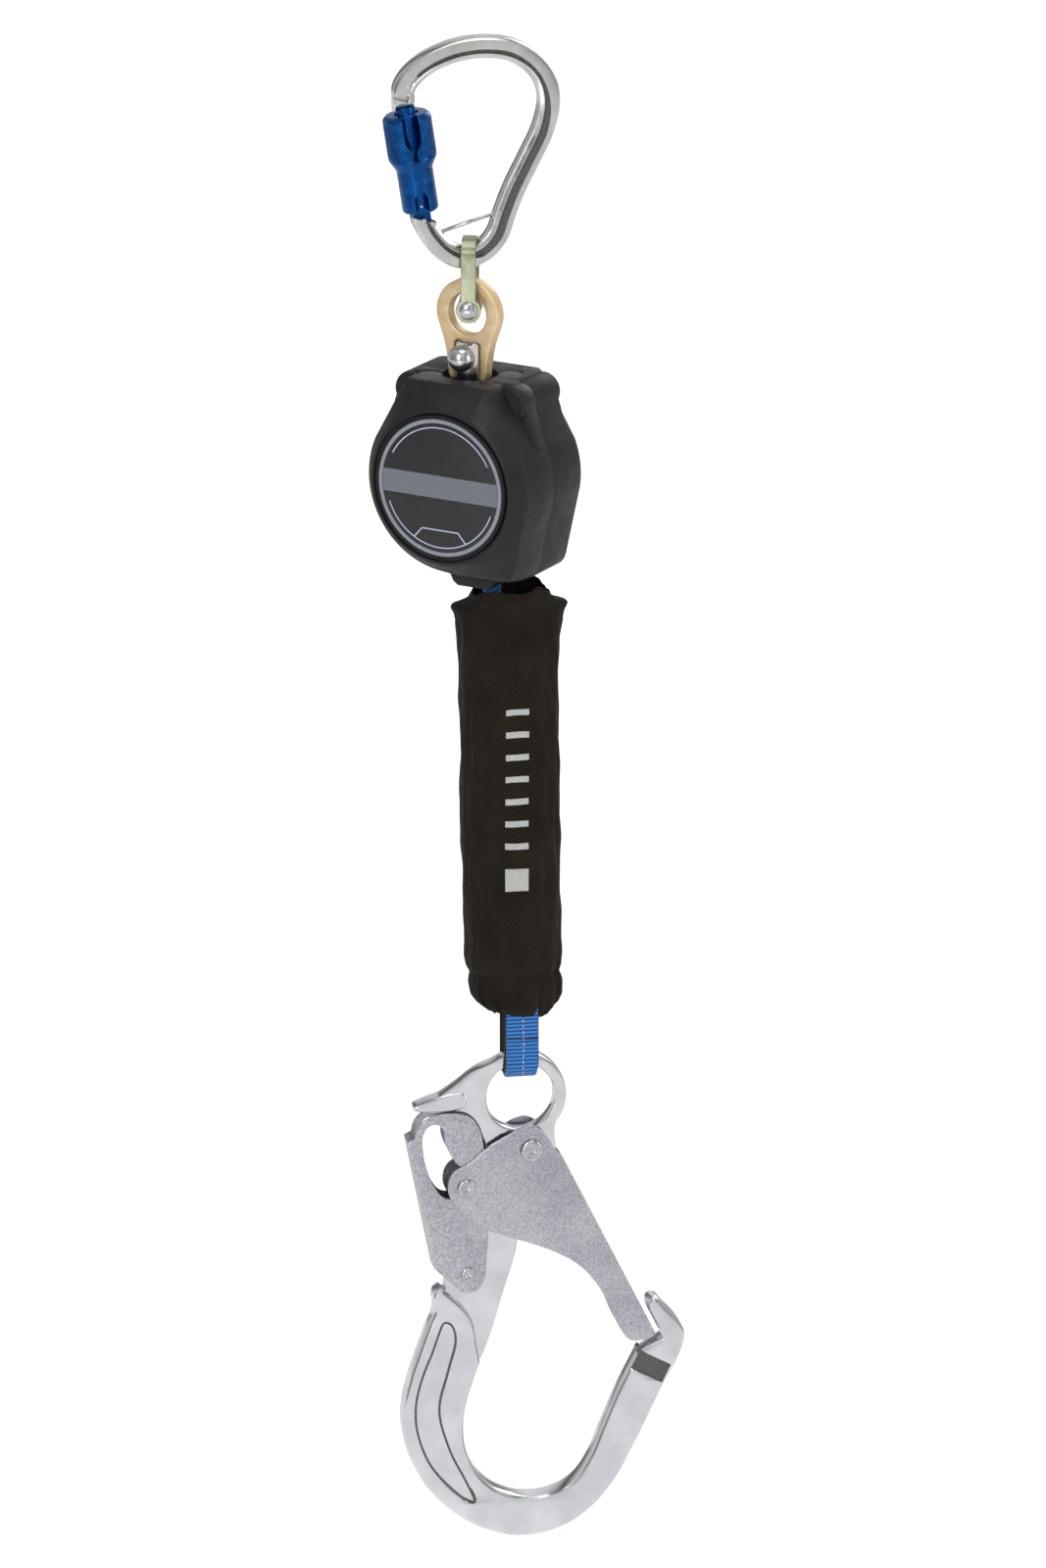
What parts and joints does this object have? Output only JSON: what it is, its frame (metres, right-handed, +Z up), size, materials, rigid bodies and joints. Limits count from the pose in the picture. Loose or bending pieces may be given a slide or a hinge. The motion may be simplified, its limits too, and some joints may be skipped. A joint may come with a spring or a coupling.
{
  "type": "self retracting lifeline",
  "caption": "Self retracting lifeline: blue locking carabiner, swivelling webbing reel, shock pack and rebar hook, hanging as one line.",
  "frame": {"origin": "middle of the carabiner's top bar, the point that the device hangs from", "axes": "+Z up along the hanging line, front of the device towards -Y, carabiner and hook in the XZ plane, housing turned 40 degrees clockwise seen from above"},
  "size_m": [0.1678, 0.1085, 0.802],
  "materials": {
    "forged_satin_metal": "satin, forged and tumbled",
    "blue_anodised": "anodised, satin",
    "plated_steel": "zinc plated",
    "yellow_plated_strap": "satin with an olive tint",
    "gold_eye_plate": "matte gold plating",
    "black_moulding": "fine texture",
    "label_grey": "matte",
    "polished_alloy": "polished",
    "blue_webbing": "ribbed weave",
    "black_cloth": "coarse woven"
  },
  "bodies": {
    "carabiner": {"carabiner_frame": "forged_satin_metal", "captive_pin": "plated_steel", "gate_hinge_pin": "plated_steel"},
    "carabiner_gate": {"gate_barrel": "blue_anodised", "gate_ball": "plated_steel", "sleeve_spring": "plated_steel"},
    "lock_sleeve": {"lock_sleeve": "blue_anodised"},
    "shackle": {"shackle_strap": "yellow_plated_strap", "shackle_rivet": "plated_steel", "shackle_bush": "plated_steel"},
    "swivel_eye": {"eye_plate": "gold_eye_plate", "swivel_post": "plated_steel", "dome_pin": "plated_steel", "swivel_nut": "plated_steel", "swivel_washer": "plated_steel"},
    "housing": {"front_cover": "black_moulding", "rear_cover": "black_moulding", "label_cap": "black_moulding", "label_disc": "label_grey", "cover_screw_1": "plated_steel", "cover_screw_2": "plated_steel", "cover_screw_3": "plated_steel", "cover_screw_4": "plated_steel", "top_plug_left": "label_grey", "top_plug_right": "label_grey", "web_nozzle": "black_moulding", "web_guide_pin_left": "plated_steel", "web_guide_pin_right": "plated_steel", "load_frame": "plated_steel", "frame_spacer": "plated_steel", "shaft_bush_front": "plated_steel", "shaft_bush_rear": "plated_steel", "ratchet_ring": "plated_steel", "spring_case": "black_moulding", "power_spring": "plated_steel"},
    "drum": {"drum_shaft": "plated_steel", "drum_hub": "polished_alloy", "drum_flange_front": "polished_alloy", "drum_flange_rear": "polished_alloy", "wound_webbing": "blue_webbing", "pawl_rotor": "polished_alloy", "pawl_pin_a": "plated_steel", "pawl_pin_b": "plated_steel"},
    "pawl_a": {"pawl_a": "plated_steel"},
    "pawl_b": {"pawl_b": "plated_steel"},
    "lifeline": {"lifeline_web": "blue_webbing", "tear_web_pack": "blue_webbing", "pack_cover": "black_cloth", "end_loop": "blue_webbing", "wear_sleeve": "black_cloth"},
    "hook": {"hook_body": "polished_alloy", "gate_rivet": "plated_steel", "lever_rivet": "plated_steel", "lever_spring": "plated_steel"},
    "lock_lever": {"lock_lever": "plated_steel"},
    "hook_gate": {"hook_gate": "plated_steel", "gate_tail_pin": "plated_steel"}
  },
  "joints": [
    {"name": "carabiner_gate_open", "type": "hinge", "parent": "carabiner", "child": "carabiner_gate", "pos_m": [-0.0313, 0, -0.088], "axis": [0, 1, 0], "range_deg": [0, 25], "stiffness_Nm_per_rad": 0.4, "springref_deg": -28.65},
    {"name": "sleeve_twist", "type": "hinge", "parent": "carabiner_gate", "child": "lock_sleeve", "pos_m": [-0.0313, 0, -0.088], "axis": [-0.1464, 0, 0.9892], "range_deg": [0, 90], "stiffness_Nm_per_rad": 0.04, "springref_deg": -28.65},
    {"name": "shackle_swing", "type": "hinge", "parent": "carabiner", "child": "shackle", "pos_m": [-0.007, 0, -0.1058], "axis": [1, 0, 0], "range_deg": [-14, 14]},
    {"name": "eye_swing", "type": "hinge", "parent": "shackle", "child": "swivel_eye", "pos_m": [-0.007, 0, -0.134], "axis": [0.2588, 0.9659, 0], "range_deg": [-20, 20]},
    {"name": "housing_swivel", "type": "hinge", "parent": "swivel_eye", "child": "housing", "pos_m": [-0.007, 0, -0.18], "axis": [0, 0, 1], "continuous": true},
    {"name": "payout", "type": "slide", "parent": "housing", "child": "lifeline", "axis": [0, 0, -1], "range_m": [0, 1.62], "stiffness_N_per_m": 8, "springref_m": -1.9, "deforming": ["lifeline_web"]},
    {"name": "drum_spin", "type": "hinge", "parent": "housing", "child": "drum", "pos_m": [-0.01389, 0.00579, -0.222], "axis": [0.6428, 0.766, 0], "range_deg": [0, 4320]},
    {"name": "pawl_a_swing", "type": "hinge", "parent": "drum", "child": "pawl_a", "pos_m": [-0.00815, 0.00096, -0.20901], "axis": [-0.6428, -0.766, 0], "range_deg": [0, 18], "stiffness_Nm_per_rad": 0.002, "springref_deg": -17.19},
    {"name": "pawl_b_swing", "type": "hinge", "parent": "drum", "child": "pawl_b", "pos_m": [-0.01964, 0.01061, -0.23499], "axis": [-0.6428, -0.766, 0], "range_deg": [0, 18], "stiffness_Nm_per_rad": 0.002, "springref_deg": -17.19},
    {"name": "hook_swing", "type": "hinge", "parent": "lifeline", "child": "hook", "pos_m": [0.018, 0, -0.5351], "axis": [1, 0, 0], "range_deg": [-45, 45]},
    {"name": "lever_squeeze", "type": "hinge", "parent": "hook", "child": "lock_lever", "pos_m": [-0.01, 0, -0.6494], "axis": [0, 1, 0], "range_deg": [0, 8], "stiffness_Nm_per_rad": 1, "springref_deg": -22.92},
    {"name": "hook_gate_swing", "type": "hinge", "parent": "hook", "child": "hook_gate", "pos_m": [0.0231, 0, -0.583], "axis": [0, 1, 0], "range_deg": [0, 38], "stiffness_Nm_per_rad": 0.3, "springref_deg": -45.84}
  ],
  "couplings": [
    {"joint": "drum_spin", "follows": "payout", "rad_per_m": 46.542},
    {"joint": "pawl_b_swing", "follows": "pawl_a_swing", "ratio": 1},
    {"joint": "hook_gate_swing", "follows": "lever_squeeze", "ratio": 4.75}
  ]
}
